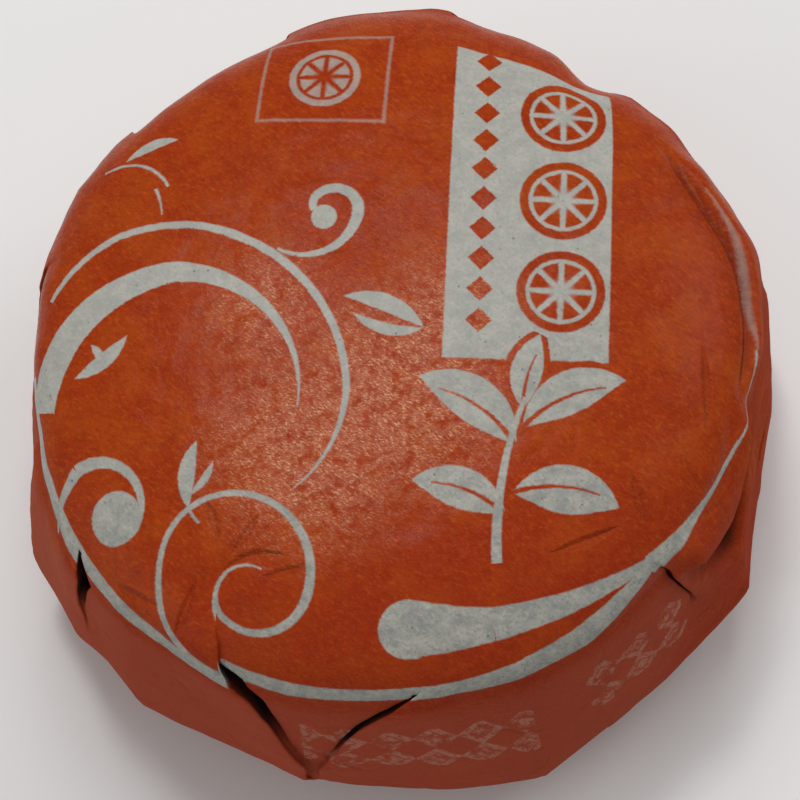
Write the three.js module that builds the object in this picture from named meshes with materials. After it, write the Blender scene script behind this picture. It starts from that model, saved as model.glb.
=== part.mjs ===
// A small nest-shaped cake of ripe tea, shut in its printed paper: a domed face, a soft shoulder,
// a pleated wall that flares downward, and the paper's spare edge gathered into the hollow underneath.
// Millimetres, +Z up, the wall's open-topped gusset toward -Y, standing on its foot ring at z = 0.
import * as THREE from "three";

// Radius and height along a meridian, from the middle of the face to the middle of the underside.
const MERIDIAN = [
  [0, 12.6], [4, 12.56], [7, 12.42], [9, 12.13], [10.2, 11.78], [11, 11.38], [11.55, 10.9],
  [11.85, 10.3], [12.06, 9.4], [12.38, 8], [12.8, 6], [13.07, 4.3], [13.15, 3.2],
  [12.98, 2.1], [12.3, 1.05], [11.1, 0.3], [9.8, 0],
  [7.2, 0], [6.2, 0.3], [4.9, 0.95], [3.3, 1.5], [1.6, 1.75], [0, 1.8],
];
// Places along that list, counted from its first point.
const SHOULDER = 7;
const RIM = 12;
const FOOT = 16;
const HOLLOW = 17;
const STEPS_PER_POINT = [2, 2, 2, 2, 2, 2, 2, 2, 5, 3, 2, 2, 2, 2, 1, 1, 1, 1, 2, 2, 2, 2];

// The outline is a soft polygon: azimuth in degrees, radius at the shoulder, radius at the rim.
const OUTLINE = [
  [5, 12.32, 13.5], [18, 12.03, 13.12], [28, 12.2, 13.15], [36, 11.9, 13], [43, 11.35, 12.9],
  [51, 11.95, 12.95], [60, 12.05, 12.95], [72, 12.42, 13.05], [84, 12.36, 13.1], [104, 11.6, 12.8],
  [122, 11.42, 12.8], [140, 11.88, 12.9], [157, 11.5, 12.75], [172, 11.4, 12.8], [184, 11.45, 12.9],
  [191, 11.7, 13.28], [204, 12, 13.3], [211, 12.03, 12.98], [218, 12.05, 13.22], [246, 11.95, 12.78],
  [268, 11.8, 13.01], [281, 11.85, 13.42], [292, 11.8, 12.86], [304, 11.7, 12.9], [322, 11.6, 13.42],
  [334, 11.6, 12.58], [349, 11.92, 12.9],
];
const SHOULDER_FLATNESS = 0.35;
const RIM_FLATNESS = 0.85;

// Each fold: azimuths where it starts on the face, at the shoulder and at its lower end; the places where it
// starts, reaches the lower azimuth and fades out; how far its outer layer stands off; which side is the
// outer layer (+1 the larger azimuth); the gap's width in degrees and depth; the places where the gap
// starts, is widest and ends.
const FOLDS = [
  { azimuths: [14, 12, 6], spans: [6.2, 12, 16], lift: 0.16, side: 1,
    gap: [0.2, 0.05], opening: [7, 8.5, 11] },
  { azimuths: [40, 39, 43], spans: [5.8, 12, 16], lift: 0.2, side: -1,
    gap: [1.6, 0.6], opening: [6.6, 7.6, 10] },
  { azimuths: [68, 69, 61], spans: [6, 12, 16], lift: 0.14, side: 1,
    gap: [1, 0.4], opening: [7.3, 8.2, 10.5] },
  { azimuths: [96, 96, 102], spans: [5.8, 12, 16], lift: 0.24, side: -1,
    gap: [1, 0.4], opening: [6.7, 7.6, 10.4] },
  { azimuths: [127, 127, 121], spans: [5.4, 11, 16], lift: 0.3, side: 1,
    gap: [2.8, 0.8], opening: [6.5, 7.2, 10.2] },
  { azimuths: [154, 156, 161], spans: [5, 12, 16], lift: 0.2, side: -1,
    gap: [0.4, 0.2], opening: [7, 8.5, 10.5] },
  { azimuths: [184, 183.5, 190], spans: [7, 11, 15], lift: 0.22, side: 1,
    gap: [0.2, 0.1], opening: [8, 9, 10] },
  { azimuths: [204.5, 206.8, 208.6], spans: [5.7, 12, 11], lift: 0.2, side: -1,
    gap: [2.3, 0.9], opening: [6, 7.3, 9.4] },
  { azimuths: [229, 237, 246.8], spans: [3.2, 10.4, 13.4], lift: 0.3, side: -1,
    gap: [2.3, 0.9], opening: [6.1, 6.5, 9.9] },
  { azimuths: [267, 262.5, 248.6], spans: [5.9, 10.4, 13.4], lift: 0.2, side: 1,
    gap: [0.5, 0.45], opening: [6.1, 7.4, 10] },
  { azimuths: [290, 289, 293], spans: [9.5, 12, 15], lift: 0.05, side: 1,
    gap: [0, 0], opening: [8, 9, 10] },
  { azimuths: [307, 308.8, 312], spans: [5, 10, 10.2], lift: 0.24, side: 1,
    gap: [0.1, 0.22], opening: [6.2, 7.6, 9.7] },
  { azimuths: [341, 341, 336], spans: [8, 12, 16], lift: 0.14, side: -1,
    gap: [0.2, 0.1], opening: [9, 10, 12.5] },
];
const COLUMNS_BETWEEN_FOLDS = 7;
const EDGE_DEG = 0.6;
const SPREAD_DEG = 13;

// Soft swellings and dips: azimuth, half-width in degrees, place, half-length in places, height.
const SWELLINGS = [
  [226, 8, 5.4, 1.6, 0.12], [196, 8, 8.5, 2, 0.12], [148, 6, 3.2, 0.8, 0.07], [252, 5, 9.9, 0.2, -0.07],
  [251, 5, 10.5, 0.4, 0.1], [318, 8, 10, 1, 0.1],
];
const RIDGE = 0.3;
const GROOVE = 0.2;
const LIP = 0.44;
const GATHERS = 13;
const GATHER_DEPTH = 0.35;
const GATHER_SWIRL_DEG = 24;

const RADIANS = Math.PI / 180;
const mix = (a, b, t) => a + (b - a) * t;
const clamp = (x, low = 0, high = 1) => Math.min(high, Math.max(low, x));
const ease = (x) => clamp(x) ** 2 * (3 - 2 * clamp(x));
const turned = (a, b) => ((((a - b) % 360) + 540) % 360) - 180;

// A smooth curve through the meridian's points; it never dips under the foot ring.
function meridian(place) {
  const last = MERIDIAN.length - 1;
  const i = Math.min(Math.floor(place), last - 1);
  const t = place - i;
  const before = i > 0 ? MERIDIAN[i - 1] : [-MERIDIAN[1][0], MERIDIAN[1][1]];
  const after = i + 2 <= last ? MERIDIAN[i + 2] : [-MERIDIAN[last - 1][0], MERIDIAN[last - 1][1]];
  const along = (k) => {
    const [a, b, c, d] = [before[k], MERIDIAN[i][k], MERIDIAN[i + 1][k], after[k]];
    return b + 0.5 * t * (c - a + t * (2 * a - 5 * b + 4 * c - d + t * (3 * (b - c) + d - a)));
  };
  return [Math.max(0, along(0)), Math.max(0, along(1))];
}

function outward(place) {
  const [r0, z0] = meridian(Math.max(0, place - 0.05));
  const [r1, z1] = meridian(Math.min(MERIDIAN.length - 1, place + 0.05));
  const length = Math.hypot(r1 - r0, z1 - z0) || 1;
  return [(z0 - z1) / length, (r1 - r0) / length];
}

// The outline's radius in one column of OUTLINE, part straight chord and part arc between its points.
function outlineRadius(azimuth, column, flatness) {
  for (let i = 0; i < OUTLINE.length; i++) {
    const from = OUTLINE[i];
    const to = OUTLINE[(i + 1) % OUTLINE.length];
    const span = (to[0] - from[0] + 360) % 360;
    const d = (((azimuth - from[0]) % 360) + 360) % 360;
    if (d <= span) {
      const arc = mix(from[column], to[column], ease(d / span));
      const across = from[column] * Math.sin(d * RADIANS) + to[column] * Math.sin((span - d) * RADIANS);
      const chord = (from[column] * to[column] * Math.sin(span * RADIANS)) / across;
      return mix(arc, chord, flatness);
    }
  }
  return OUTLINE[0][column];
}

function widening(azimuth, place) {
  const shoulder = outlineRadius(azimuth, 1, SHOULDER_FLATNESS) / MERIDIAN[SHOULDER][0];
  const rim = outlineRadius(azimuth, 2, RIM_FLATNESS) / MERIDIAN[RIM][0];
  if (place < SHOULDER) return mix(1, shoulder, (place / SHOULDER) ** 3);
  if (place < RIM) return mix(shoulder, rim, (place - SHOULDER) / (RIM - SHOULDER));
  return mix(rim, 1, ease((place - RIM) / (FOOT - RIM)));
}

function foldAzimuth(fold, place) {
  const [face, shoulder, low] = fold.azimuths;
  const [start, reach] = fold.spans;
  if (place < SHOULDER) return mix(face, shoulder, clamp((place - start) / Math.max(SHOULDER - start, 1e-6)));
  return mix(shoulder, low, clamp((place - SHOULDER) / (reach - SHOULDER)));
}

function foldLift(fold, place) {
  const [start, , end] = fold.spans;
  const rise = ease((place - start) / (Math.max(SHOULDER + 0.6, start + 1) - start));
  return fold.lift * rise * (1 - ease((place - end + 2.5) / 2.5));
}

// How open the gap beside a fold is, from 0 to 1: quick to open, then closing evenly.
function foldOpen(fold, place) {
  const [start, widest, end] = fold.opening;
  if (place < widest) return ease((place - start) / (widest - start));
  return clamp((end - place) / (end - widest));
}

// The paper stands up in a ridge along the right of the shoulder, with a groove inside it.
function rightShoulder(azimuth, place) {
  const around = turned(azimuth, 0);
  const x = place - (5.1 + 0.95 * ease((16 - around) / 26));
  const ridge = RIDGE * ease((x + 0.05) / 0.55) * (1 - ease((x - 0.7) / 1.6));
  return ease((around + 24) / 12) * ease((26 - around) / 9) * (ridge - GROOVE * Math.exp(-((x / 0.17) ** 2)));
}

// The face's paper puffs out over the wall at the lower right, and steps back in under its edge.
function lip(azimuth, place) {
  const around = turned(azimuth, 323);
  const x = place - (8.4 - 0.6 * (around / 11) ** 2);
  const puff = LIP * ease((x + 2.1) / 1.7);
  const under = mix(LIP, 0.08, ease(x / 0.6)) * (1 - ease((x - 0.8) / 1.6));
  return ease((around + 13) / 4) * ease((17 - around) / 6) * (x < 0 ? puff : under);
}

function relief(azimuth, place, edges) {
  let height = rightShoulder(azimuth, place) + lip(azimuth, place);
  for (const [fold, edge] of edges) {
    const d = turned(azimuth, edge) * fold.side;
    if (d > -1e-6 && d < SPREAD_DEG) height += foldLift(fold, place) * (1 - ease(d / SPREAD_DEG));
  }
  for (const [at, wide, where, long, high] of SWELLINGS) {
    const a = turned(azimuth, at) / wide;
    const b = (place - where) / long;
    height += high * Math.exp(-2 * (a * a + b * b));
  }
  const gathered = ease((place - HOLLOW) / 2) * (1 - ease((place - 20.5) / 1.5));
  const swirl = azimuth + (GATHER_SWIRL_DEG * (place - HOLLOW)) / 5;
  return height - gathered * GATHER_DEPTH * Math.abs(Math.sin((swirl * GATHERS * RADIANS) / 2));
}

function places() {
  const list = [];
  STEPS_PER_POINT.forEach((steps, i) => {
    for (let k = 0; k < steps; k++) list.push(i + k / steps);
  });
  return list.slice(1);
}

// One ring of points. Its columns follow the folds: at each fold the outer layer's edge, the bottom of the
// gap and the lower layer's edge, then evenly spaced columns as far as the next fold.
function ring(place) {
  const edges = FOLDS.map((fold) => [fold, foldAzimuth(fold, place)]);
  const crossings = edges.map(([fold, edge]) => {
    const open = foldOpen(fold, place);
    const gap = fold.gap[0] * open;
    const list = [
      [edge, 0],
      [edge - fold.side * (0.4 * gap + 0.5 * EDGE_DEG), fold.gap[1] * ease(1.6 * open)],
      [edge - fold.side * (gap + EDGE_DEG), 0],
    ];
    return fold.side > 0 ? list.reverse() : list;
  });
  const columns = crossings.flatMap((crossing, i) => {
    const last = crossing[2][0];
    const next = crossings[(i + 1) % crossings.length][0][0];
    const span = (((next - last) % 360) + 360) % 360;
    const between = Array.from({ length: COLUMNS_BETWEEN_FOLDS - 1 }, (_, k) => [
      last + (span * (k + 1)) / COLUMNS_BETWEEN_FOLDS, 0,
    ]);
    return [...crossing, ...between];
  });
  const [nr, nz] = outward(place);
  const [r, z] = meridian(place);
  return columns.map(([azimuth, deep]) => {
    const out = relief(azimuth, place, edges) - deep;
    const radius = r * widening(azimuth, place) + nr * out;
    const angle = azimuth * RADIANS;
    return new THREE.Vector3(radius * Math.cos(angle), radius * Math.sin(angle), Math.max(0, z + nz * out));
  });
}

function wrappedTuo() {
  const rings = places().map(ring);
  const count = rings[0].length;
  const vertices = [new THREE.Vector3(0, 0, MERIDIAN[0][1]), ...rings.flat()];
  vertices.push(new THREE.Vector3(0, 0, MERIDIAN[MERIDIAN.length - 1][1]));
  const bottom = vertices.length - 1;
  const at = (i, j) => 1 + i * count + (j % count);
  const faces = [];
  for (let j = 0; j < count; j++) {
    faces.push(0, at(0, j), at(0, j + 1));
    faces.push(bottom, at(rings.length - 1, j + 1), at(rings.length - 1, j));
    for (let i = 0; i + 1 < rings.length; i++) {
      faces.push(at(i, j), at(i + 1, j), at(i + 1, j + 1));
      faces.push(at(i, j), at(i + 1, j + 1), at(i, j + 1));
    }
  }
  const geometry = new THREE.BufferGeometry().setFromPoints(vertices);
  geometry.setIndex(faces);
  geometry.computeBoundingBox();
  const middle = geometry.boundingBox.getCenter(new THREE.Vector3());
  geometry.translate(-middle.x, -middle.y, 0);
  geometry.computeVertexNormals();
  return geometry;
}

const paper = new THREE.MeshStandardMaterial({ color: 0x9b4322, roughness: 0.5, metalness: 0 });
const wrapped = new THREE.Mesh(wrappedTuo(), paper);
wrapped.name = "wrapped_tuo";

const group = new THREE.Group();
group.add(wrapped);
export default group;
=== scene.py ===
"""Looks of a small paper-wrapped cake of pressed tea: the folded, printed wrapper on a pale table."""

import math

import bpy
import numpy as np
from mathutils import Matrix, Vector, noise


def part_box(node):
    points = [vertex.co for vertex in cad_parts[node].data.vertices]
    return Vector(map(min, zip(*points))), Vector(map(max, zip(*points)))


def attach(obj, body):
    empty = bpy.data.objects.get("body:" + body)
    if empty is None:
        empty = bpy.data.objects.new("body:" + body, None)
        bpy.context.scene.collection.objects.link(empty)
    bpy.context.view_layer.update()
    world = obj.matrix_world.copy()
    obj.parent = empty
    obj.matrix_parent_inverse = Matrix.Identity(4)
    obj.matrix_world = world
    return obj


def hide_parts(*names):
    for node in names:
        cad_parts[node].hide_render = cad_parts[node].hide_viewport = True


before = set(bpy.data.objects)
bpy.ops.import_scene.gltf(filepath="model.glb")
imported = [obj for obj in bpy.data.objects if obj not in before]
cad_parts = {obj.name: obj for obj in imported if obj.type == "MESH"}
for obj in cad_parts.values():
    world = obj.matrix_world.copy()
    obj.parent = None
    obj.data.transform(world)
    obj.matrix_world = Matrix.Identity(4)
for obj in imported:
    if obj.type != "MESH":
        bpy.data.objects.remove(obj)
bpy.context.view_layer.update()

MM = 0.001

# Form of the wrapper, in millimetres: radius and height along a meridian, from the middle of the face to the
# middle of the underside. The numbers under it are places along this list, counted from its first point.
MERIDIAN = np.array([
    (0, 12.6), (4, 12.56), (7, 12.42), (9, 12.13), (10.2, 11.78), (11, 11.38), (11.55, 10.9),
    (11.85, 10.3), (12.06, 9.4), (12.38, 8), (12.8, 6), (13.07, 4.3), (13.15, 3.2),
    (12.98, 2.1), (12.3, 1.05), (11.1, 0.3), (9.8, 0),
    (7.2, 0), (6.2, 0.3), (4.9, 0.95), (3.3, 1.5), (1.6, 1.75), (0, 1.8),
])
SHOULDER, RIM, FOOT, HOLLOW = 7, 12, 16, 17
LAST = len(MERIDIAN) - 1
RINGS_PER_POINT = [24, 20, 14, 10, 8, 7, 6, 8, 20, 18, 14, 9, 9, 9, 8, 6, 3, 5, 6, 6, 6, 6]

# The outline is a soft polygon: azimuth in degrees, radius at the shoulder, radius at the rim.
OUTLINE = np.array([
    (5, 12.32, 13.5), (18, 12.03, 13.12), (28, 12.2, 13.15), (36, 11.9, 13), (43, 11.35, 12.9),
    (51, 11.95, 12.95), (60, 12.05, 12.95), (72, 12.42, 13.05), (84, 12.36, 13.1), (104, 11.6, 12.8),
    (122, 11.42, 12.8),
    (140, 11.88, 12.9), (157, 11.5, 12.75), (172, 11.4, 12.8), (184, 11.45, 12.9), (191, 11.7, 13.28),
    (204, 12, 13.3), (211, 12.03, 12.98), (218, 12.05, 13.22), (246, 11.95, 12.78), (268, 11.8, 13.01),
    (281, 11.85, 13.42), (292, 11.8, 12.86), (304, 11.7, 12.9), (322, 11.6, 13.42), (334, 11.6, 12.58),
    (349, 11.92, 12.9),
])
SHOULDER_FLATNESS = 0.35
RIM_FLATNESS = 0.85

# Each fold runs over the shoulder and down the wall. azimuths: where it starts on the face, at the
# shoulder and at its lower end. spans: places where it starts, reaches the lower azimuth and fades out.
# lift: how far its outer layer stands off, on the side of the larger azimuth (side 1) or the smaller
# (side -1). gap: width in degrees and depth in millimetres. opening: places where the gap starts, is
# widest and ends.
FOLDS = [
    dict(azimuths=(14, 12, 6), spans=(6.2, 12, 16), lift=0.16, side=1,
         gap=(0.2, 0.05), opening=(7, 8.5, 11)),
    dict(azimuths=(40, 39, 43), spans=(5.8, 12, 16), lift=0.2, side=-1,
         gap=(1.6, 0.6), opening=(6.6, 7.6, 10)),
    dict(azimuths=(68, 69, 61), spans=(6, 12, 16), lift=0.14, side=1,
         gap=(1, 0.4), opening=(7.3, 8.2, 10.5)),
    dict(azimuths=(96, 96, 102), spans=(5.8, 12, 16), lift=0.24, side=-1,
         gap=(1, 0.4), opening=(6.7, 7.6, 10.4)),
    dict(azimuths=(127, 127, 121), spans=(5.4, 11, 16), lift=0.3, side=1,
         gap=(2.8, 0.8), opening=(6.5, 7.2, 10.2)),
    dict(azimuths=(154, 156, 161), spans=(5, 12, 16), lift=0.2, side=-1,
         gap=(0.4, 0.2), opening=(7, 8.5, 10.5)),
    dict(azimuths=(184, 183.5, 190), spans=(7, 11, 15), lift=0.22, side=1,
         gap=(0.2, 0.1), opening=(8, 9, 10)),
    dict(azimuths=(204.5, 206.8, 208.6), spans=(5.7, 12, 11), lift=0.2, side=-1,
         gap=(2.3, 0.9), opening=(6, 7.3, 9.4)),
    dict(azimuths=(229, 237, 246.8), spans=(3.2, 10.4, 13.4), lift=0.3, side=-1,
         gap=(2.3, 0.9), opening=(6.1, 6.5, 9.9)),
    dict(azimuths=(267, 262.5, 248.6), spans=(5.9, 10.4, 13.4), lift=0.2, side=1,
         gap=(0.5, 0.45), opening=(6.1, 7.4, 10)),
    dict(azimuths=(290, 289, 293), spans=(9.5, 12, 15), lift=0.05, side=1,
         gap=(0, 0), opening=(8, 9, 10)),
    dict(azimuths=(307, 308.8, 312), spans=(5, 10, 10.2), lift=0.24, side=1,
         gap=(0.1, 0.22), opening=(6.2, 7.6, 9.7)),
    dict(azimuths=(341, 341, 336), spans=(8, 12, 16), lift=0.14, side=-1,
         gap=(0.2, 0.1), opening=(9, 10, 12.5)),
]
COLUMNS_BETWEEN = 21
SPREAD_DEG = 13
PAPER = 0.1
# How deep a gap must be for its painted shade to be full, and how far a fold's edge wavers.
DARK_DEPTH = 0.3
WAVER_DEG = 0.3
# The fold at which the two sides of the print don't meet, and by how much.
CREASE, PRINT_SLIP = 8, 0.3

# Soft swellings and dips: azimuth, half-width in degrees, place, half-length in places, height.
SWELLINGS = [
    (226, 8, 5.4, 1.6, 0.12), (196, 8, 8.5, 2, 0.12), (148, 6, 3.2, 0.8, 0.07), (252, 5, 9.9, 0.2, -0.07),
    (251, 5, 10.5, 0.4, 0.1), (318, 8, 10, 1, 0.1),
]
# Small bumps and pinches of the face at the lower left, written the same way.
DIMPLES = [
    (222.6, 4, 3.25, 0.5, 0.06), (229, 2.2, 3.5, 0.7, -0.08), (235.6, 3.5, 3.4, 0.5, 0.06),
    (236.6, 4.5, 2.7, 0.16, -0.05), (230, 4, 2.5, 0.5, 0.05), (226, 3, 4.5, 0.4, 0.05),
    (246, 3, 3.6, 0.5, 0.04), (214, 3, 4.3, 0.6, 0.04),
]
RIDGE = 0.3
GROOVE = 0.2
LIP = 0.44
LIP_MIDDLE_DEG = 323
GATHERS = 13
GATHER_DEPTH = 0.35
GATHER_SWIRL_DEG = 24
# Lumps of the pressed leaves under the paper, in two sizes: how many to a millimetre, height, shift.
LUMPS = [(0.55, 0.05, 0), (1.7, 0.022, 9)]


def mix(a, b, t):
    return a + (b - a) * t


def ease(x):
    x = np.clip(x, 0, 1)
    return x * x * (3 - 2 * x)


def turned(a, b):
    return (a - b + 540) % 360 - 180


def meridian(place):
    """Radius and height at places along the meridian."""
    place = np.asarray(place, float)
    points = np.vstack([MERIDIAN[1] * (-1, 1), MERIDIAN, MERIDIAN[-2] * (-1, 1)])
    i = np.clip(place.astype(int), 0, LAST - 1)
    t = (place - i)[..., None]
    a, b, c, d = (points[i + k] for k in range(4))
    out = b + 0.5 * t * (c - a + t * (2 * a - 5 * b + 4 * c - d + t * (3 * (b - c) + d - a)))
    return np.maximum(0, out[..., 0]), np.maximum(0, out[..., 1])


def outward(place):
    r0, z0 = meridian(np.maximum(0, place - 0.05))
    r1, z1 = meridian(np.minimum(LAST, place + 0.05))
    length = np.hypot(r1 - r0, z1 - z0)
    return (z0 - z1) / length, (r1 - r0) / length


def outline_radius(azimuth, column, flatness):
    azimuth = np.asarray(azimuth, float) % 360
    result = np.zeros_like(azimuth)
    for i in range(len(OUTLINE)):
        a, b = OUTLINE[i], OUTLINE[(i + 1) % len(OUTLINE)]
        span = (b[0] - a[0]) % 360
        d = (azimuth - a[0]) % 360
        inside = d <= span
        arc = mix(a[column], b[column], ease(d / span))
        rad = math.pi / 180
        across = a[column] * np.sin(d * rad) + b[column] * np.sin((span - d) * rad)
        chord = a[column] * b[column] * math.sin(span * rad) / np.where(inside, across, 1)
        result = np.where(inside, mix(arc, chord, flatness), result)
    return result


def widening(azimuth, place):
    shoulder = outline_radius(azimuth, 1, SHOULDER_FLATNESS) / MERIDIAN[SHOULDER][0]
    rim = outline_radius(azimuth, 2, RIM_FLATNESS) / MERIDIAN[RIM][0]
    on_face = mix(1, shoulder, np.clip(place / SHOULDER, 0, 1) ** 3)
    on_wall = mix(shoulder, rim, np.clip((place - SHOULDER) / (RIM - SHOULDER), 0, 1))
    under = mix(rim, 1, ease((place - RIM) / (FOOT - RIM)))
    return np.where(place < SHOULDER, on_face, np.where(place < RIM, on_wall, under))


def fold_azimuth(fold, place):
    face, shoulder, low = fold["azimuths"]
    start, reach, _ = fold["spans"]
    on_face = mix(face, shoulder, np.clip((place - start) / (SHOULDER - start + 1e-6), 0, 1))
    on_wall = mix(shoulder, low, np.clip((place - SHOULDER) / (reach - SHOULDER), 0, 1))
    waver = WAVER_DEG * (np.sin(2.3 * place + face) + 0.25 * np.sin(5.1 * place + 2 * face))
    return np.where(place < SHOULDER, on_face, on_wall) + waver * ease((place - start) / 2)


def fold_lift(fold, place):
    start, _, end = fold["spans"]
    rise = ease((place - start) / (max(SHOULDER + 0.6, start + 1) - start))
    return fold["lift"] * rise * (1 - ease((place - end + 2.5) / 2.5))


def fold_open(fold, place):
    """How open the gap beside a fold is, from 0 to 1: quick to open, then closing evenly."""
    start, widest, end = fold["opening"]
    opening = ease((place - start) / (widest - start))
    closing = np.clip((end - place) / (end - widest), 0, 1)
    return np.where(place < widest, opening, closing)


# Columns across a fold where it has faded out, from its outer layer to its lower one: offset into the outer
# layer in degrees, and share of the stand-off.
FADED = np.array([
    (2.4, 1), (1.7, 1), (1.1, 0.97), (0.7, 0.9), (0.35, 0.7), (0.1, 0.5), (-0.15, 0.3), (-0.4, 0.15),
    (-0.75, 0.06), (-1.1, 0), (-1.6, 0), (-2.3, 0),
])


def fold_columns(fold, place):
    """The columns across a fold, by rings: offsets into the outer layer in degrees, heights, and painted
    shade for the gap under the fold.
    """
    lift = fold_lift(fold, place)
    opened = fold_open(fold, place)
    gap = fold["gap"][0] * opened
    deep = fold["gap"][1] * ease(1.6 * opened)
    full = ease((lift + deep) / 0.16)
    thick = np.minimum(PAPER, 0.5 * lift + 0.02)
    pocket = 0.4 + 3.2 * opened * fold["gap"][1]
    # offset, height and painted shade of each column where the fold is fully one
    folded = [
        (2.4, lift, 0), (1.4, lift, 0), (0.6, lift, 0), (0.2, 0.995 * lift, 0), (0, lift - 0.4 * thick, 0.15),
        (0.15, lift - thick, 0.8), (pocket, mix(lift - thick, -deep, 0.55), 1),
        (0.4 * pocket - 0.3 * gap, -deep, 1), (-0.75 * gap - 0.05, -0.55 * deep, 1),
        (-gap - 0.15, -0.05 * deep, 0.6), (-gap - 0.4, 0, 0), (-gap - 1.5, 0, 0),
    ]
    each = 0 * lift
    offsets = np.array([offset + each for offset, _, _ in folded])
    heights = np.array([high + each for _, high, _ in folded])
    faded_offsets = FADED[:, 0][:, None] + each
    faded_heights = FADED[:, 1][:, None] * lift
    # painted shade inside the gap, stronger where the gap is open and deep
    dark = ease(opened * 3) * min(1, fold["gap"][1] / DARK_DEPTH)
    painted_gap_shade = np.array([darkness * dark for _, _, darkness in folded])
    return mix(faded_offsets, offsets, full), mix(faded_heights, heights, full), painted_gap_shade


def outer_ramp(fold, distance):
    """Share of the stand-off left at a distance in degrees from the fold's edge, into its outer layer."""
    return np.where(distance >= 0, 1 - ease(distance / SPREAD_DEG), 0)


def ring_places():
    marks = []
    for i, steps in enumerate(RINGS_PER_POINT[:LAST]):
        marks += [i + k / steps for k in range(steps)]
    return np.array(marks[1:])


def build_grid():
    place = ring_places()
    edges = [fold_azimuth(fold, place) for fold in FOLDS]
    azimuths, heights, shades = [], [], []
    for i, fold in enumerate(FOLDS):
        j = (i + 1) % len(FOLDS)
        offsets, levels, painted_gap_shade = fold_columns(fold, place)
        if fold["side"] > 0:
            offsets, levels, painted_gap_shade = offsets[::-1], levels[::-1], painted_gap_shade[::-1]
        azimuth = edges[i] + fold["side"] * offsets
        next_offsets = fold_columns(FOLDS[j], place)[0]
        if FOLDS[j]["side"] > 0:
            next_offsets = next_offsets[::-1]
        last = azimuth[-1]
        first_next = edges[j] + FOLDS[j]["side"] * next_offsets[0]
        span = (first_next - last) % 360
        between = np.array([last + span * k / (COLUMNS_BETWEEN + 1) for k in range(1, COLUMNS_BETWEEN + 1)])
        for columns, own in ((azimuth, levels), (between, None)):
            total = np.zeros_like(columns)
            for k, other in enumerate(FOLDS):
                if own is not None and k == i:
                    continue
                distance = turned(columns, edges[k]) * other["side"]
                total += fold_lift(other, place) * outer_ramp(other, distance)
            if own is not None:
                distance = np.abs(turned(columns, edges[i]))
                total += np.where(own > 0, own * (1 - ease(distance / SPREAD_DEG)), own)
            azimuths.append(columns)
            heights.append(total)
            shades.append(painted_gap_shade if own is not None else np.zeros_like(columns))
    azimuth = np.vstack(azimuths).T
    height = np.vstack(heights).T
    return place[:, None] + 0 * azimuth, azimuth, height, np.vstack(shades).T


def swell(azimuth, place):
    out = np.zeros_like(azimuth)
    for at, wide, where, long, high in SWELLINGS + DIMPLES:
        out += high * np.exp(-2 * ((turned(azimuth, at) / wide) ** 2 + ((place - where) / long) ** 2))
    gathered = ease((place - HOLLOW) / 2) * (1 - ease((place - 20.5) / 1.5))
    swirl = azimuth + GATHER_SWIRL_DEG * (place - HOLLOW) / 5
    return out - gathered * GATHER_DEPTH * np.abs(np.sin(np.radians(swirl * GATHERS) / 2))


def right_shoulder(azimuth, place):
    """The paper stands up in a ridge along the right of the shoulder, with a groove inside it.

    Returns height, and shade painted along the groove and on the face just inside it."""
    around = turned(azimuth, 0)
    window = ease((around + 24) / 12) * ease((26 - around) / 9)
    groove = 5.1 + 0.95 * ease((16 - around) / 26)
    x = place - groove
    ridge = RIDGE * ease((x + 0.05) / 0.55) * (1 - ease((x - 0.7) / 1.6))
    height = window * (ridge - GROOVE * np.exp(-((x / 0.17) ** 2)))
    # painted shade: darkest in the groove, fainter on the face just inside it
    return height, window * (0.4 * np.exp(-((x / 0.14) ** 2)) + 0.12 * np.exp(-(((x + 0.35) / 0.5) ** 2)))


def lip(azimuth, place):
    """The face's paper puffs out over the wall at the lower right and tucks under it.

    Returns height, shift in places and the shade painted into the trench under the puff."""
    around = turned(azimuth, LIP_MIDDLE_DEG)
    window = ease((around + 13) / 4) * ease((17 - around) / 6)
    x = place - (8.4 - 0.6 * (around / 11) ** 2)
    puff = LIP * ease((x + 2.1) / 1.7)
    middle = np.exp(-(((around - 1) / 5) ** 2))
    depth = -0.2 - 0.3 * middle
    dark_end = 0.8 + 0.14 * middle
    trench = mix(LIP, depth, ease(x / 0.25))
    flap = mix(depth, 0.14, ease((x - dark_end + 0.1) / 0.35)) * (1 - ease((x - 1.3) / 1.4))
    height = np.where(x < 0, puff, np.where(x < 0.5, trench, flap))
    shift = 0.5 * ease((x + 0.25) / 0.5) * (1 - ease((x - 0.3) / 0.5))
    # painted shade in the trench under the puff, darkest at its middle
    dark = (0.25 + 0.75 * middle) * ease((x - 0.02) / 0.12) * (1 - ease((x - dark_end) / 0.2))
    return window * height, window * shift, window * dark


def lump(x, y, z):
    return sum(high * noise.noise(Vector((x * per_mm, y * per_mm, z * per_mm + shift)))
               for per_mm, high, shift in LUMPS)


place, azimuth, height, shade = build_grid()
lip_height, lip_shift, lip_shade = lip(azimuth, place)
ridge_height, ridge_shade = right_shoulder(azimuth, place)
# painted shade of the gaps, the lip's trench and the groove, kept as the shade attribute
shade = np.maximum(np.maximum(shade, lip_shade), ridge_shade)
height = height + swell(azimuth, place) + ridge_height + lip_height
drawn = place - lip_shift
radius, level = meridian(drawn)
normal_r, normal_z = outward(drawn)
wide = widening(azimuth, drawn)
cosine, sine = np.cos(np.radians(azimuth)), np.sin(np.radians(azimuth))
spots = zip((radius * cosine).ravel(), (radius * sine).ravel(), level.ravel())
lumps = np.array([lump(*spot) for spot in spots]).reshape(radius.shape)
height = height + lumps * (1 - ease((place - FOOT + 1.5) / 1.2))

r = radius * wide + normal_r * height
points = np.stack([r * cosine, r * sine, np.maximum(0, level + normal_z * height)], axis=-1)

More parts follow.
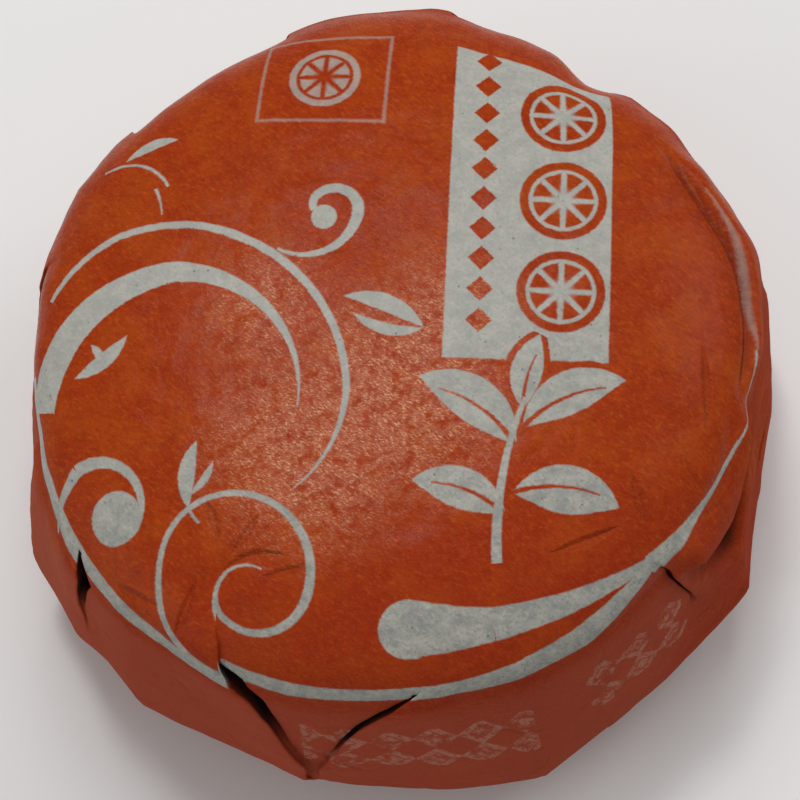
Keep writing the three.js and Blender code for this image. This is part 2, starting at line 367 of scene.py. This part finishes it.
# the flat sheet: how far each point lies along the meridian from the middle of the face
fine = np.linspace(0, LAST, 2000)
fine_r, fine_z = meridian(fine)
run = np.concatenate([[0], np.cumsum(np.hypot(np.diff(fine_r), np.diff(fine_z)))])
travel = np.interp(place, fine, run)
crease = FOLDS[CREASE]
beside = -turned(azimuth, fold_azimuth(crease, place))
travel = travel - PRINT_SLIP * ease((place - 3.5) / 2) * np.where(beside > 0, 1 - ease(beside / 40), 0)
sheet = np.stack([travel * cosine, travel * sine, place], axis=-1)

rings, columns = place.shape
vertices = np.vstack([[(0, 0, MERIDIAN[0][1])], points.reshape(-1, 3), [(0, 0, MERIDIAN[-1][1])]])
sheet = np.vstack([[(0, 0, 0)], sheet.reshape(-1, 3), [(0, 0, LAST)]])
at = 1 + np.arange(rings * columns).reshape(rings, columns)
right = np.roll(at, -1, axis=1)
quads = np.stack([at[:-1], at[1:], right[1:], right[:-1]], axis=-1).reshape(-1, 4)
faces = [tuple(map(int, q)) for q in quads]
bottom = len(vertices) - 1
faces += [(0, int(a), int(b)) for a, b in zip(at[0], right[0])]
faces += [(bottom, int(b), int(a)) for a, b in zip(at[-1], right[-1])]

low, high = (np.array(corner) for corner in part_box("wrapped_tuo"))
own_middle = (vertices.min(axis=0) + vertices.max(axis=0)) / 2
vertices[:, :2] -= own_middle[:2]
vertices = vertices * MM + np.array([(low[0] + high[0]) / 2, (low[1] + high[1]) / 2, 0])

mesh = bpy.data.meshes.new("wrapper")
mesh.from_pydata([tuple(v) for v in vertices], [], faces)
mesh.polygons.foreach_set("use_smooth", [True] * len(mesh.polygons))
layer = mesh.attributes.new("sheet", "FLOAT_VECTOR", "POINT")
layer.data.foreach_set("vector", sheet.ravel())
# the painted shade goes with the mesh as the shade attribute
layer = mesh.attributes.new("shade", "FLOAT", "POINT")
layer.data.foreach_set("value", np.concatenate([[0], shade.ravel(), [0]]))
mesh.validate()
mesh.update()
wrapper = bpy.data.objects.new("wrapper", mesh)
bpy.context.collection.objects.link(wrapper)
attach(wrapper, "root")
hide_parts("wrapped_tuo")

# Print, as strokes on the flat sheet, in millimetres from the middle of the face. A stroke is a chain of
# arcs: (centre x, centre y, radius, start angle, sweep, half-width at start, half-width at end, belly).

def scroll(x, y, heading, legs, widths, bellies=None):
    """Arcs that follow one another smoothly.

    legs: (radius, sweep in degrees); widths: one more than legs."""
    arcs = []
    for i, (radius_mm, sweep) in enumerate(legs):
        turn = 1 if sweep > 0 else -1
        h = math.radians(heading)
        cx, cy = x - turn * radius_mm * math.sin(h), y + turn * radius_mm * math.cos(h)
        start = math.atan2(y - cy, x - cx)
        arcs.append((cx, cy, radius_mm, start, math.radians(sweep), widths[i], widths[i + 1],
                     bellies[i] if bellies else 0))
        end = start + math.radians(sweep)
        x, y, heading = cx + radius_mm * math.cos(end), cy + radius_mm * math.sin(end), heading + sweep
    return arcs


def bow(x0, y0, x1, y1, sweep, widths=(0, 0), belly=0):
    """One arc between two points; with a belly and no end width it is a leaf."""
    length = math.hypot(x1 - x0, y1 - y0)
    radius_mm = length / 2 / math.sin(math.radians(abs(sweep)) / 2)
    heading = math.degrees(math.atan2(y1 - y0, x1 - x0)) - sweep / 2
    return scroll(x0, y0, heading, [(radius_mm, sweep)], widths, [belly])


RING = 12.05
SCROLLS = (
    bow(-10.6, 3.37, -3.6, 3.6, -84, (0.1, 0.15)) + bow(-3.6, 3.6, -1.36, -1.87, -60, (0.15, 0.12))
    + bow(-1.36, -1.87, -3.56, -4.91, -52, (0.12, 0.02))
    + bow(-11.5, -0.4, -6.1, 3.06, -74, (0.62, 0.36), 0.05)
    + bow(-6.1, 3.06, -3, -2.34, -97, (0.36, 0.02), -0.02)
    + scroll(-2.75, 3.12, -40, [(1.74, 108), (0.78, 150), (0.42, 70)], (0.05, 0.2, 0.15, 0.12))
    + bow(-11.8, -4.35, -10.31, -2.76, -20, (0.06, 0.22))
    + bow(-10.31, -2.76, -8.75, -5.2, -158, (0.22, 0.08))
    + scroll(-7.12, -9.67, 136, [(3.43, -62), (2.28, -92), (2.49, -102), (1.55, -117), (0.95, -166)],
             (0.14, 0.09, 0.1, 0.16, 0.1, 0.03))
    + bow(RING * math.cos(math.radians(175)), RING * math.sin(math.radians(175)), 0, -RING, 95, (0.3, 0.24))
    + bow(0, -RING, 4.7, -11.1, 24, (0.24, 0.46)) + bow(4.7, -11.1, 7.0, -9.35, 15, (0.46, 0.22))
    + bow(7.0, -9.35, 9.5, -7.55, 12, (0.38, 0.13)) + bow(9.5, -7.55, 11.4, -5.1, 10, (0.13, 0.04))
    + bow(11.4, -5.1, 11.84, -2.73, 12, (0.04, 0.03))
    + bow(-0.9, -9.85, 1.7, -10.2, 12, (0.9, 0.52)) + bow(1.7, -10.2, 7.1, -9.15, 20, (0.52, 0.14))
    + bow(-0.95, 1.05, 1.35, -0.5, -50, belly=0.3) + bow(-0.75, 0.45, 1.35, -0.5, 60, belly=0.2)
    + bow(-9.95, 0.3, -7.95, 1.25, 40, belly=0.27) + bow(-8.9, 0.55, -9.2, 1.25, 30, belly=0.14)
    + bow(-7.3, 7.75, -5.4, 8.0, -50, belly=0.22)
    + scroll(-8.1, 7.6, 10, [(1.9, -85)], (0.05, 0.06)) + scroll(-6.35, 6.25, -75, [(3, -20)], (0.06, 0.02))
    + bow(-6.85, -4.85, -6.25, -2.75, -40, belly=0.27) + bow(-6.75, -4.4, -5.85, -3.5, 40, belly=0.13)
    + bow(-6.85, -4.85, -6.6, -5.35, 20, (0.06, 0.05))
)
# Round ends and joints of the strokes: middle and radius.
BLOBS = [
    (-6.1, 3.06, 0.36), (4.7, -11.1, 0.45), (-1.1, 3.93, 0.42), (-9.2, -4.55, 0.84), (-0.88, -9.9, 0.92),
]

# The label: a plain field with three cut fruits and a border of lozenges, and a sprig of tea under it.
LABEL_TURN = -13
LABEL_AT, LABEL_HALF = (5.46, 3.07), (2.6, 5.4)
LABEL_TOP, LABEL_TOP_SLOPE = 5.37, 0.267
FRUITS = [(1.0, 3.35), (1.05, 0.15), (1.05, -3.05)]
FRUIT_RADIUS = 1.28
BORDER_U, BORDER_STEP, BORDER_FOOT = -1.5, 1.06, 4.6
LOZENGE_HALF = 0.42
SPRIG_AT = (3.4, -5.2)
SPRIG_MARGIN = 0.22
SPRIG_STEM = bow(-0.5, -3.4, 0.2, 1.9, -24, (0.17, 0.08))
SPRIG_LEAVES = [
    (bow(0.15, 1.5, 0.6, 4.0, -30, belly=0.5), bow(0.15, 1.5, 0.5, 3.3, -30, (0.07, 0.02))),
    (bow(-0.05, 0.3, -3.15, 2.5, 50, belly=0.74), bow(-0.05, 0.3, -2.5, 2.1, 44, (0.08, 0.02))),
    (bow(0.15, 0.9, 3.3, 2.6, -50, belly=0.7), bow(0.15, 0.9, 2.7, 2.3, -44, (0.08, 0.02))),
    (bow(-0.3, -1.9, -3.2, -0.9, 46, belly=0.66), bow(-0.3, -1.9, -2.6, -0.95, 40, (0.08, 0.02))),
    (bow(-0.1, -1.2, 3.2, -1.5, -46, belly=0.78), bow(-0.1, -1.2, 2.6, -1.15, -40, (0.08, 0.02))),
]
# The small frame near the shoulder, with a cut fruit in it; and the thin pale band along the shoulder's
# right, a painted highlight where the paper catches the light.
BADGE_AT, BADGE_TURN, BADGE_HALF = (-0.25, 9.15), -14, (2.1, 1.75)
BADGE_LINE, BADGE_FRUIT = 0.055, 1.1
SHOULDER_HIGHLIGHT = bow(11.88, -2.73, 11.14, 2.96, 26, (0.02, 0.0), 0.055)
# Creases of the paper: end points on the sheet and sweep.
CREASES = [
    (-6.3, -7.05, -3.9, -7.05, -60), (-5, -7.4, -3.5, -7.3, 20), (-6.1, -6.1, -6.3, -4.6, 20),
    (-7, -7, -7.9, -8.4, -20), (6.8, -6.2, 7, -8.1, 15), (-5.9, -6.6, -4.7, -5.4, 25),
    (9.5, -5.5, 9.9, -2.4, 10), (3.6, -8.4, 6.2, -7.9, 12), (-9.7, -6.3, -8.2, -7.4, 16),
]
CREASE_WIDTH = 0.22
# Where a sheen is painted on the face: middles and reach.
SHEEN_SPOTS = [(-2.8, -3.7, 2), (0.2, -2.4, 2.2), (2, -0.6, 1), (-3.4, 1.2, 0.6)]
# Marks on the wall, in two rows: distance of the rows from the middle of the sheet, and the groups' middles
# and half-lengths along the wall at MARK_RADIUS. Each mark is an outer lozenge and a smaller one inside.
MARK_RADIUS, MARK_ROW, MARK_ROW_STEP, MARK_STEP = 12.9, 15.2, 1.6, 1.5
MARK_GROUPS = [(-21.6, 3.9), (-13.5, 2.15)]
MARK_OUTER, MARK_OUTER_LINE, MARK_INNER = 0.6, 0.18, 0.34
MARK_BAND, MARK_BAND_HALF = 15.95, 1.45


class Net:
    """Short ways to add nodes and join them."""

    def __init__(self, tree):
        self.tree = tree

    def add(self, kind, **settings):
        made = self.tree.nodes.new(kind)
        for key, value in settings.items():
            setattr(made, key, value)
        return made

    def put(self, value, socket):
        if isinstance(value, bpy.types.NodeSocket):
            self.tree.links.new(value, socket)
        else:
            socket.default_value = value

    def math(self, operation, *values, clamp=False):
        made = self.add("ShaderNodeMath", operation=operation, use_clamp=clamp)
        for value, socket in zip(values, made.inputs):
            self.put(value, socket)
        return made.outputs[0]

    def times(self, a, b):
        return self.math("MULTIPLY", a, b)

    def plus(self, a, b):
        return self.math("ADD", a, b)

    def minus(self, a, b):
        return self.math("SUBTRACT", a, b)

    def size(self, a):
        return self.math("ABSOLUTE", a)

    def length(self, a, b):
        return self.math("SQRT", self.plus(self.times(a, a), self.times(b, b)))

    def most(self, *values):
        result = values[0]
        for value in values[1:]:
            result = self.math("MAXIMUM", result, value)
        return result

    def least(self, *values):
        result = values[0]
        for value in values[1:]:
            result = self.math("MINIMUM", result, value)
        return result

    def fade(self, value, low, high):
        """0 below low, 1 above high, smooth between."""
        made = self.add("ShaderNodeMapRange", interpolation_type="SMOOTHSTEP")
        for number, socket in zip((value, low, high, 0, 1), made.inputs):
            self.put(number, socket)
        return made.outputs[0]

    def group(self, tree, *values):
        made = self.add("ShaderNodeGroup", node_tree=tree)
        for value, socket in zip(values, made.inputs):
            self.put(value, socket)
        return made.outputs[0]

    def noise(self, vector, scale, detail=2, roughness=0.5, along=None):
        """Noise. along, if given, draws it out: (angle in degrees, how many times longer)."""
        if along:
            mapped = self.add("ShaderNodeMapping", vector_type="TEXTURE")
            self.put(vector, mapped.inputs["Vector"])
            mapped.inputs["Rotation"].default_value = (0, 0, math.radians(along[0]))
            mapped.inputs["Scale"].default_value = (along[1], 1, 1)
            vector = mapped.outputs[0]
        made = self.add("ShaderNodeTexNoise")
        self.put(vector, made.inputs["Vector"])
        made.inputs["Scale"].default_value = scale
        made.inputs["Detail"].default_value = detail
        made.inputs["Roughness"].default_value = roughness
        return made.outputs[0]

    def colour(self, blend, factor, a, b):
        made = self.add("ShaderNodeMix", data_type="RGBA", blend_type=blend)
        for value, socket in zip((factor, a, b), (made.inputs[0], made.inputs[6], made.inputs[7])):
            self.put(value, socket)
        return made.outputs[2]


def shape_group(name, inputs, build):
    tree = bpy.data.node_groups.new(name, "ShaderNodeTree")
    for label in inputs:
        tree.interface.new_socket(label, in_out="INPUT", socket_type="NodeSocketFloat")
    tree.interface.new_socket("Inside", in_out="OUTPUT", socket_type="NodeSocketFloat")
    net = Net(tree)
    entry, out = net.add("NodeGroupInput"), net.add("NodeGroupOutput")
    net.put(build(net, *entry.outputs[:len(inputs)]), out.inputs[0])
    return tree


def arc_inside(net, x, y, cx, cy, radius_mm, start, turn, span, first, last, belly):
    dx, dy = net.minus(x, cx), net.minus(y, cy)
    off = net.size(net.minus(net.length(dx, dy), radius_mm))
    angle = net.times(net.minus(net.math("ARCTAN2", dy, dx), start), turn)
    along = net.math("DIVIDE", net.math("WRAP", angle, 2 * math.pi, 0.0), span)
    width = net.math("MULTIPLY_ADD", net.minus(last, first), along, first)
    hump = net.times(net.times(along, net.minus(1, along)), 4)
    width = net.math("MULTIPLY_ADD", belly, hump, width)
    past_end = net.math("GREATER_THAN", along, 1)
    return net.math("MULTIPLY_ADD", past_end, -FAR_OUTSIDE, net.minus(width, off))


def blob_inside(net, x, y, cx, cy, radius_mm):
    return net.minus(radius_mm, net.length(net.minus(x, cx), net.minus(y, cy)))


def turned_axis(net, x, y, cx, cy, angle):
    """One coordinate in a frame at (cx, cy) turned by angle."""
    dx, dy = net.minus(x, cx), net.minus(y, cy)
    return net.plus(net.times(dx, net.math("COSINE", angle)), net.times(dy, net.math("SINE", angle)))


FAR_OUTSIDE = 99
ARC = shape_group(
    "arc",
    ["X", "Y", "Centre X", "Centre Y", "Radius", "Start", "Turn", "Span", "First", "Last", "Belly"],
    arc_inside,
)
BLOB = shape_group("blob", ["X", "Y", "Centre X", "Centre Y", "Radius"], blob_inside)
AXIS = shape_group("turned axis", ["X", "Y", "Centre X", "Centre Y", "Angle"], turned_axis)


def draw(net, x, y, arcs):
    drawn_arcs = []
    for cx, cy, radius_mm, start, sweep, first, last, belly in arcs:
        turn = 1.0 if sweep > 0 else -1.0
        shape = (cx, cy, radius_mm, start, turn, abs(sweep), first, last, belly)
        drawn_arcs.append(net.group(ARC, x, y, *shape))
    return drawn_arcs


def axes(net, x, y, at, turn_deg):
    turn = math.radians(turn_deg)
    return net.group(AXIS, x, y, *at, turn), net.group(AXIS, x, y, *at, turn + math.pi / 2)


def box_inside(net, u, v, half):
    return net.least(net.minus(half[0], net.size(u)), net.minus(half[1], net.size(v)))


def fruit_inside(net, u, v, at, size):
    """A cut round fruit: its rind, and eight wedges of flesh."""
    du, dv = net.minus(u, at[0]), net.minus(v, at[1])
    from_middle = net.length(du, dv)
    rind = net.minus(0.11 * size, net.size(net.minus(from_middle, 0.98 * size)))
    spoke = net.size(net.math("SINE", net.times(net.math("ARCTAN2", dv, du), 4)))
    gap = net.minus(net.times(net.times(spoke, from_middle), 0.25), 0.07 * size)
    flesh = net.least(gap, net.minus(0.76 * size, from_middle), net.minus(from_middle, 0.1 * size))
    return net.most(rind, flesh)


def sprig_inside(net, x, y):
    u, v = axes(net, x, y, SPRIG_AT, LABEL_TURN)
    sprig = draw(net, u, v, SPRIG_STEM)[0]
    for blade, vein in SPRIG_LEAVES:
        sprig = net.most(sprig, net.least(draw(net, u, v, blade)[0], net.times(draw(net, u, v, vein)[0], -1)))
    return sprig


def label_inside(net, x, y):
    """The label's field, less its cut fruits and its border of lozenges."""
    u, v = axes(net, x, y, LABEL_AT, LABEL_TURN)
    field = net.least(net.minus(LABEL_HALF[0], net.size(u)), net.plus(v, LABEL_HALF[1]))
    field = net.least(field, net.minus(net.math("MULTIPLY_ADD", u, -LABEL_TOP_SLOPE, LABEL_TOP), v))
    fruits = net.most(*[fruit_inside(net, u, v, at, FRUIT_RADIUS) for at in FRUITS])
    step = net.math("PINGPONG", net.plus(v, 20), BORDER_STEP / 2)
    lozenge = net.minus(LOZENGE_HALF, net.plus(net.size(net.minus(u, BORDER_U)), step))
    lozenge = net.least(lozenge, net.plus(v, BORDER_FOOT))
    return net.least(field, net.times(net.most(fruits, lozenge), -1))


def printed_white(net, x, y):
    """How far inside the unprinted parts of the face a point lies, in millimetres."""
    strokes = net.most(*draw(net, x, y, SCROLLS), *[net.group(BLOB, x, y, *blob) for blob in BLOBS])
    sprig = sprig_inside(net, x, y)
    label = net.least(label_inside(net, x, y), net.minus(-SPRIG_MARGIN, sprig))
    return net.most(strokes, label, sprig)


def faint_marks(net, x, y):
    """What is drawn paler than the rest: the thin printed frame and the fruit in it, and the painted
    highlight along the shoulder's right.
    """
    u, v = axes(net, x, y, BADGE_AT, BADGE_TURN)
    line = net.minus(BADGE_LINE, net.size(box_inside(net, u, v, BADGE_HALF)))
    return net.most(line, *draw(net, x, y, SHOULDER_HIGHLIGHT)), fruit_inside(net, u, v, (0, 0), BADGE_FRUIT)


def wall_marks(net, x, y):
    """Rows of small lozenges on the wall, in two groups."""
    from_middle = net.length(x, y)
    along = net.times(net.math("ARCTAN2", y, x), MARK_RADIUS)
    across = net.math("PINGPONG", net.minus(from_middle, MARK_ROW), MARK_ROW_STEP / 2)
    lean = net.math("MULTIPLY_ADD", across, 0.9, net.math("PINGPONG", net.plus(along, 60), MARK_STEP / 2))
    outer = net.minus(MARK_OUTER_LINE, net.size(net.minus(lean, MARK_OUTER)))
    mark = net.most(net.minus(MARK_INNER, lean), outer)
    groups = [net.minus(half, net.size(net.minus(along, middle))) for middle, half in MARK_GROUPS]
    rows = net.minus(MARK_BAND_HALF, net.size(net.minus(from_middle, MARK_BAND)))
    return net.least(mark, net.most(*groups), rows)


# The paper's colours.
PAPER_COLOUR = (0.41, 0.395, 0.345, 1)
PAPER_COOL = (0.28, 0.285, 0.265, 1)
# painted shade: the near black laid into the gaps, the trench and the groove
PAINTED_SHADE_COLOUR = (0.018, 0.006, 0.004, 1)
PAPER_SHADE = (0.22, 0.225, 0.2, 1)
# pale paper: for pale fibres, and for the painted light towards the back
PAPER_PALE_AND_LIT = (0.5, 0.49, 0.44, 1)
FIBRE_DARK = (0.12, 0.12, 0.1, 1)
INK = (0.365, 0.037, 0.004, 1)
INK_DEEP = (0.24, 0.02, 0.003, 1)
INK_WARM = (0.46, 0.086, 0.006, 1)
INK_RED = (0.28, 0.02, 0.008, 1)
# painted sheen: the colour of its glints and of its paler ink
INK_GLINT_AND_FLECK = (0.78, 0.44, 0.23, 1)
INK_SHEEN = (0.56, 0.2, 0.11, 1)
# painted sheen on the wall: a paler, pinker ink
INK_WALL_SHEEN = (0.42, 0.1, 0.056, 1)
INK_MARK = (0.5, 0.29, 0.21, 1)
EDGE_WAVER = 0.09

paper = bpy.data.materials.new("paper_wrapper")
paper.use_nodes = True
net = Net(paper.node_tree)
shader = paper.node_tree.nodes["Principled BSDF"]
body = net.add("ShaderNodeVectorMath", operation="SCALE")
net.put(net.add("ShaderNodeTexCoord").outputs["Object"], body.inputs[0])
body.inputs["Scale"].default_value = 1000
body = body.outputs[0]
split = net.add("ShaderNodeSeparateXYZ")
net.put(net.add("ShaderNodeAttribute", attribute_name="sheet").outputs["Vector"], split.inputs[0])
flat = net.add("ShaderNodeCombineXYZ")
net.put(split.outputs[0], flat.inputs[0])
net.put(split.outputs[1], flat.inputs[1])
flat = flat.outputs[0]

# fine grain and fibres, soft mottling, and broad blotches
grain = net.noise(body, 9, 3, 0.65)
fibre_a = net.noise(flat, 9, 2, 0.6, along=(-55, 2.4))
fibre_b = net.noise(flat, 6, 2, 0.6, along=(-25, 2.2))
blotch = net.noise(body, 0.6, 3, 0.55)
mottle = net.noise(body, 2.2, 3, 0.6)
fibres = net.plus(net.times(fibre_a, 0.6), net.times(fibre_b, 0.4))

# the print's edges waver a little with the grain
x = net.math("MULTIPLY_ADD", net.minus(grain, 0.5), EDGE_WAVER, split.outputs[0])
y = net.math("MULTIPLY_ADD", net.minus(fibre_b, 0.5), EDGE_WAVER, split.outputs[1])
down = split.outputs[2]
white = net.fade(printed_white(net, x, y), -0.035, 0.045)
thin, fruit = faint_marks(net, x, y)
# bare paper shows through the frame and its fruit, which are print, and through the painted highlight on the
# shoulder
faint = net.most(net.times(net.fade(thin, -0.05, 0.05), 0.42), net.times(net.fade(fruit, -0.04, 0.05), 0.7))
worn = net.times(net.fade(mottle, 0.38, 0.56), net.fade(fibres, 0.34, 0.54))
marks = net.times(net.fade(wall_marks(net, x, y), -0.04, 0.05), net.times(worn, 0.75))
bare = net.most(white, faint)

# the ink is uneven; on the wall it is mixed towards a paler, pinker tone, a painted sheen, except at the
# right where the wall is lit orange
ink = net.colour("MIX", net.math("MULTIPLY_ADD", net.fade(mottle, 0.35, 0.65), 0.4, 0.5), INK_DEEP, INK)
for pattern, start, end, strength, tone in (
    (blotch, 0.42, 0.66, 0.3, INK_WARM),
    (fibres, 0.5, 0.68, 0.55, INK_WARM), (fibres, 0.48, 0.32, 0.5, INK_DEEP),
    (grain, 0.58, 0.72, 0.35, INK_WARM), (grain, 0.42, 0.28, 0.4, INK_DEEP),
):
    ink = net.colour("MIX", net.times(net.fade(pattern, start, end), strength), ink, tone)
wall_sheen = net.times(net.fade(down, SHOULDER, SHOULDER + 1.5), net.fade(split.outputs[0], 13.5, 9))
ink = net.colour("MIX", net.times(wall_sheen, 0.6), ink, INK_WALL_SHEEN)
ink = net.colour("MIX", marks, ink, INK_MARK)
ink = net.colour("MIX", net.times(net.fade(y, -5, -10), 0.35), ink, INK_RED)

# painted sheen: on the glossy spots the ink goes paler, with pale glints and dark flecks of fibre; faint
# flecks elsewhere
fleck_a = net.noise(flat, 17, 2, 0.6, along=(-52, 3.2))
fleck_b = net.noise(flat, 19, 2, 0.6, along=(-15, 2.6))
clump = net.noise(flat, 2.6, 3, 0.65)
painted_sheen = net.fade(net.most(*[net.group(BLOB, x, y, *spot) for spot in SHEEN_SPOTS]), -2.6, 1.2)
painted_sheen = net.times(painted_sheen, net.fade(clump, 0.34, 0.6))
glints_and_flecks = net.math("ADD", net.fade(fleck_a, 0.52, 0.72), net.fade(fleck_b, 0.54, 0.74), clamp=True)
glints_and_flecks = net.times(glints_and_flecks, net.math("MULTIPLY_ADD", painted_sheen, 0.8, 0.04))
darker = net.times(net.fade(fleck_b, 0.5, 0.36), net.math("MULTIPLY_ADD", painted_sheen, 0.6, 0.12))
ink = net.colour("MIX", net.times(painted_sheen, 0.48), ink, INK_SHEEN)
ink = net.colour("MIX", darker, ink, INK_DEEP)
ink = net.colour("MIX", glints_and_flecks, ink, INK_GLINT_AND_FLECK)

# the bare paper, with fibres and a few dark specks
plain = net.colour("MIX", net.fade(mottle, 0.3, 0.7), PAPER_COOL, PAPER_COLOUR)
plain = net.colour("MIX", net.times(net.fade(grain, 0.52, 0.32), 0.6), plain, PAPER_SHADE)
plain = net.colour("MIX", net.times(net.fade(fibres, 0.52, 0.66), 0.5), plain, PAPER_PALE_AND_LIT)
# painted light: the bare paper is lighter towards the back of the face
plain = net.colour("MIX", net.times(net.fade(y, -9.5, 2), 0.4), plain, PAPER_PALE_AND_LIT)
specks = net.add("ShaderNodeTexVoronoi", feature="F1")
net.put(body, specks.inputs["Vector"])
specks.inputs["Scale"].default_value = 2.6
spot = net.times(net.fade(specks.outputs["Distance"], 0.16, 0.06), net.fade(grain, 0.4, 0.6))
plain = net.colour("MIX", net.times(spot, 0.75), plain, FIBRE_DARK)

# painted shade: where the shade attribute says, the colour goes to near black
painted_shade_amount = net.add("ShaderNodeAttribute", attribute_name="shade").outputs["Fac"]
colour = net.colour("MIX", bare, ink, plain)
colour = net.colour("MIX", painted_shade_amount, colour, PAINTED_SHADE_COLOUR)
net.put(colour, shader.inputs["Base Color"])
matt = net.math("MULTIPLY_ADD", net.fade(down, SHOULDER - 1, SHOULDER + 0.5), 0.68, 0.17)
net.put(net.math("MULTIPLY_ADD", grain, 0.2, matt), shader.inputs["Roughness"])
shader.inputs["IOR"].default_value = 1.12
shader.inputs["Specular IOR Level"].default_value = 1

# thin lines where the wall's paper was crumpled
warp = net.add("ShaderNodeTexNoise")
net.put(body, warp.inputs["Vector"])
warp.inputs["Scale"].default_value = 0.5
bent = net.add("ShaderNodeVectorMath", operation="MULTIPLY_ADD")
net.put(warp.outputs["Color"], bent.inputs[0])
bent.inputs[1].default_value = (1.6, 1.6, 1.6)
net.put(body, bent.inputs[2])
crumple = net.add("ShaderNodeTexVoronoi", feature="DISTANCE_TO_EDGE")
net.put(bent.outputs[0], crumple.inputs["Vector"])
crumple.inputs["Scale"].default_value = 0.28
line = net.times(net.fade(crumple.outputs["Distance"], 0.05, 0), net.fade(blotch, 0.44, 0.6))
line_depth = net.math("MULTIPLY_ADD", net.fade(down, SHOULDER - 1, SHOULDER + 1), 0.035, 0.005)

# relief of the paper in millimetres: grain, fibres, soft cockles, a few sharp creases and the thin lines
cockle = net.noise(flat, 1.1, 2, 0.5)
creases = [draw(net, x, y, bow(*ends, (-CREASE_WIDTH, -CREASE_WIDTH), CREASE_WIDTH))[0] for ends in CREASES]
creases = net.fade(net.most(*creases), -CREASE_WIDTH, 0)
relief = net.math("MULTIPLY_ADD", grain, 0.01, net.times(fibres, 0.014))
relief = net.plus(relief, net.times(cockle, 0.04))
relief = net.plus(relief, net.times(creases, -0.1))
relief = net.minus(relief, net.times(line, line_depth))
bump = net.add("ShaderNodeBump")
bump.inputs["Strength"].default_value = 1
bump.inputs["Distance"].default_value = MM
net.put(relief, bump.inputs["Height"])
net.put(bump.outputs[0], shader.inputs["Normal"])
mesh.materials.append(paper)

# Table, light and camera.
bpy.ops.mesh.primitive_plane_add(size=4, location=(0, 0, 0))
floor = bpy.context.object
floor.name = "floor"
floor_material = bpy.data.materials.new("pale_table")
floor_material.use_nodes = True
floor_material.node_tree.nodes["Principled BSDF"].inputs["Base Color"].default_value = (0.86, 0.86, 0.85, 1)
floor_material.node_tree.nodes["Principled BSDF"].inputs["Roughness"].default_value = 0.9
floor.data.materials.append(floor_material)

world = bpy.data.worlds.new("studio")
bpy.context.scene.world = world
world.use_nodes = True
world.node_tree.nodes["Background"].inputs["Color"].default_value = (1, 1, 1, 1)
world.node_tree.nodes["Background"].inputs["Strength"].default_value = 0.3


def soft_light(name, place_mm, size_mm, watts):
    data = bpy.data.lights.new(name, "AREA")
    data.size = size_mm * MM
    data.energy = watts
    lamp = bpy.data.objects.new(name, data)
    lamp.location = Vector(place_mm) * MM
    lamp.rotation_mode = "QUATERNION"
    lamp.rotation_quaternion = (Vector((0, 0, 8)) * MM - lamp.location).to_track_quat("-Z", "Y")
    bpy.context.collection.objects.link(lamp)
    return lamp


soft_light("key", (20, 110, 235), 120, 0.215).visible_glossy = False
soft_light("sheen", (-8, 88, 240), 34, 0.1)
soft_light("side", (170, 60, 160), 110, 0.1)
soft_light("fill", (-200, -60, 120), 160, 0.08)

# The camera looks down at the face, tilted to the front and rolled. Lengths in millimetres; the focal length
# and the picture's shift are in pixels of a square picture PICTURE_PX wide.
TILT, ROLL, DISTANCE, AIM_Z, FOCAL_PX = 21.3, -10.8, 80, 7.56, 2397
OFFSET_PX = (-5.6, -22)
PICTURE_PX, SENSOR_MM = 800, 36
tilt, roll = math.radians(TILT), math.radians(ROLL)
back = Vector((0, -math.sin(tilt), math.cos(tilt)))
side = Vector((1, 0, 0))
up = back.cross(side)
camera_x = side * math.cos(roll) + up * math.sin(roll)
camera_y = -side * math.sin(roll) + up * math.cos(roll)
camera = bpy.data.objects.new("camera", bpy.data.cameras.new("camera"))
bpy.context.collection.objects.link(camera)
eye = (Vector((0, 0, AIM_Z)) + back * DISTANCE) * MM
turn = Matrix((camera_x, camera_y, back)).transposed().to_4x4()
camera.matrix_world = Matrix.Translation(eye) @ turn
camera.data.sensor_width = SENSOR_MM
camera.data.lens = FOCAL_PX / PICTURE_PX * SENSOR_MM
camera.data.shift_x = -OFFSET_PX[0] / PICTURE_PX
camera.data.shift_y = OFFSET_PX[1] / PICTURE_PX
camera.data.clip_start, camera.data.clip_end = 0.005, 10
bpy.context.scene.camera = camera
bpy.context.scene.view_settings.view_transform = "Standard"
